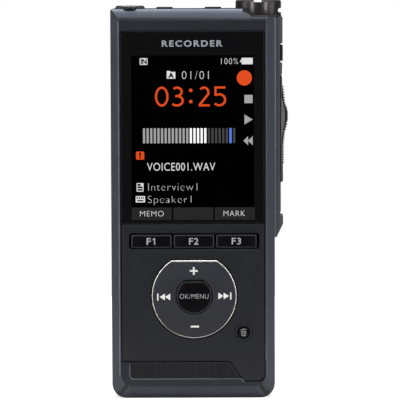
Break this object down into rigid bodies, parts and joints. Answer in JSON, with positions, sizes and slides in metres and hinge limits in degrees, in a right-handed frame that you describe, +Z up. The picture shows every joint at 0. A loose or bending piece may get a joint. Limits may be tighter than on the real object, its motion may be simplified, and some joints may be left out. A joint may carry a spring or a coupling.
{
  "type": "portable field recorder",
  "caption": "Slim hand-held audio recorder with a display, ring key, function keys, side slide switch and a turned microphone on its top corner.",
  "frame": {"origin": "middle of the bottom face, on the mid-plane of the case", "axes": "+Z up the case towards the microphone, -Y out of the display, +X towards the record slide"},
  "size_m": [0.0539, 0.0158, 0.1213],
  "materials": {
    "case_metal": "fine metallic slate paint",
    "black_glass": "gloss black",
    "panel_plastic": "satin charcoal",
    "grille_plastic": "satin near-black",
    "key_plastic": "soft gloss black",
    "dark_plastic": "matte black",
    "cover_plastic": "fine textured charcoal",
    "rail_plastic": "satin charcoal",
    "bright_trim": "polished",
    "dark_metal": "dark anodised, turned",
    "mesh_steel": "satin",
    "screw_steel": "dark plated",
    "clear_lens": "clear",
    "soft_rubber": "matte",
    "circuit_board": "solder resist",
    "battery_wrap": "film wrap",
    "contact_gold": "gold plated",
    "flex_film": "amber film"
  },
  "bodies": {
    "case": {"front_frame": "case_metal", "rear_shell": "case_metal", "top_cap": "dark_plastic", "case_screw_1": "screw_steel", "case_screw_2": "screw_steel", "case_screw_3": "screw_steel", "case_screw_4": "screw_steel", "display_window": "black_glass", "control_panel": "panel_plastic", "speaker_grille": "grille_plastic", "erase_collar": "dark_metal", "keypad_mat": "soft_rubber", "key_board": "circuit_board", "led_lens": "clear_lens", "led_board": "circuit_board", "mic_jack": "dark_plastic", "ear_jack": "dark_plastic", "mic_housing": "dark_metal", "mic_grille": "mesh_steel", "mic_capsule": "mesh_steel", "mic_cushion": "soft_rubber", "side_rail": "rail_plastic", "slide_switch": "mesh_steel", "new_switch": "mesh_steel", "power_switch": "mesh_steel", "battery": "battery_wrap", "battery_tray": "dark_plastic", "battery_contacts": "contact_gold", "lcd_panel": "black_glass", "lcd_backlight": "mesh_steel", "display_flex": "flex_film", "main_board": "circuit_board", "card_socket": "mesh_steel", "memory_card": "dark_plastic", "usb_socket": "mesh_steel", "dock_connector": "dark_plastic", "speaker_gasket": "soft_rubber", "speaker_driver": "dark_plastic"},
    "function_key_1": {"key_f1": "key_plastic"},
    "function_key_2": {"key_f2": "key_plastic"},
    "function_key_3": {"key_f3": "key_plastic"},
    "nav_cradle": {"nav_gimbal": "screw_steel"},
    "nav_key": {"nav_ring": "panel_plastic", "nav_trim": "bright_trim"},
    "centre_key": {"ok_key": "key_plastic"},
    "delete_key": {"erase_key": "key_plastic"},
    "record_slide": {"record_slider": "rail_plastic"},
    "new_key": {"new_button": "rail_plastic"},
    "hold_slide": {"power_slider": "dark_metal"},
    "card_flap": {"card_door": "dark_plastic"},
    "back_cover": {"battery_cover": "cover_plastic"},
    "cover_catch": {"battery_latch": "key_plastic"}
  },
  "joints": [
    {"name": "f1_press", "type": "slide", "parent": "case", "child": "function_key_1", "axis": [0, 1, 0], "range_m": [0, 0.0004], "stiffness_N_per_m": 400},
    {"name": "f2_press", "type": "slide", "parent": "case", "child": "function_key_2", "axis": [0, 1, 0], "range_m": [0, 0.0004], "stiffness_N_per_m": 400},
    {"name": "f3_press", "type": "slide", "parent": "case", "child": "function_key_3", "axis": [0, 1, 0], "range_m": [0, 0.0004], "stiffness_N_per_m": 400},
    {"name": "nav_up_down", "type": "hinge", "parent": "case", "child": "nav_cradle", "pos_m": [0.00027, -0.006, 0.0314], "axis": [1, 0, 0], "range_deg": [-1.6, 1.6], "stiffness_Nm_per_rad": 0.02},
    {"name": "nav_left_right", "type": "hinge", "parent": "nav_cradle", "child": "nav_key", "pos_m": [0.00027, -0.006, 0.0314], "axis": [0, 0, 1], "range_deg": [-1.6, 1.6], "stiffness_Nm_per_rad": 0.02},
    {"name": "ok_press", "type": "slide", "parent": "case", "child": "centre_key", "axis": [0, 1, 0], "range_m": [0, 0.0004], "stiffness_N_per_m": 400},
    {"name": "erase_press", "type": "slide", "parent": "case", "child": "delete_key", "axis": [0, 1, 0], "range_m": [0, 0.0004], "stiffness_N_per_m": 400},
    {"name": "record_slide_travel", "type": "slide", "parent": "case", "child": "record_slide", "axis": [0, 0, -1], "range_m": [0, 0.0096]},
    {"name": "new_press", "type": "slide", "parent": "case", "child": "new_key", "axis": [-1, 0, 0], "range_m": [0, 0.0004], "stiffness_N_per_m": 400},
    {"name": "hold_slide_travel", "type": "slide", "parent": "case", "child": "hold_slide", "axis": [0, 0, 1], "range_m": [0, 0.0035]},
    {"name": "card_door_swing", "type": "hinge", "parent": "case", "child": "card_flap", "pos_m": [-0.02435, 0.0034, 0.0745], "axis": [0, 0, -1], "range_deg": [0, 95]},
    {"name": "battery_cover_swing", "type": "hinge", "parent": "case", "child": "back_cover", "pos_m": [0, 0.007, 0.0574], "axis": [1, 0, 0], "range_deg": [0, 90]},
    {"name": "latch_slide", "type": "slide", "parent": "back_cover", "child": "cover_catch", "axis": [1, 0, 0], "range_m": [0, 0.003]}
  ]
}
